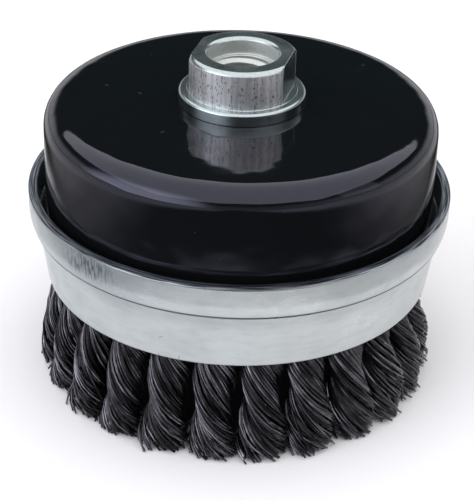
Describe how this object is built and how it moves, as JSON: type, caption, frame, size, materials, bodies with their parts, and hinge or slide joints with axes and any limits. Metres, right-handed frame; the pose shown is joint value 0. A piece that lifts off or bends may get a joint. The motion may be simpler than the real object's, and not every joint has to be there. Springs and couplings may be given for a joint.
{
  "type": "twisted wire cup brush",
  "caption": "Cup brush of left-twisted steel wire knots in a black pressed cup, with a plated support ring and a flanged drive nut with wrench flats and an M14 thread.",
  "frame": {"origin": "the middle of the wire face, where the wire tips touch the surface the brush stands on", "axes": "+Z along the spindle axis, from the wire tips up to the nut; -Y faces the viewer of the picture"},
  "size_m": [0.1002, 0.1002, 0.0806],
  "materials": {
    "plated_nut": "bright zinc plating, lightly pitted",
    "black_lacquer": "glossy black lacquer with fine scratches",
    "plated_ring": "pale satin zinc plating with rub marks",
    "holder_steel": "dull pressed steel",
    "knot_wire": "dark oiled steel wire"
  },
  "bodies": {
    "root": {"drive_nut": "plated_nut", "cup_shell": "black_lacquer", "support_ring": "plated_ring", "knot_holder": "holder_steel", "knot_01": "knot_wire", "knot_02": "knot_wire", "knot_03": "knot_wire", "knot_04": "knot_wire", "knot_05": "knot_wire", "knot_06": "knot_wire", "knot_07": "knot_wire", "knot_08": "knot_wire", "knot_09": "knot_wire", "knot_10": "knot_wire", "knot_11": "knot_wire", "knot_12": "knot_wire", "knot_13": "knot_wire", "knot_14": "knot_wire", "knot_15": "knot_wire", "knot_16": "knot_wire", "knot_17": "knot_wire", "knot_18": "knot_wire", "knot_19": "knot_wire", "knot_20": "knot_wire", "knot_21": "knot_wire", "knot_22": "knot_wire", "knot_23": "knot_wire", "knot_24": "knot_wire"}
  },
  "joints": []
}
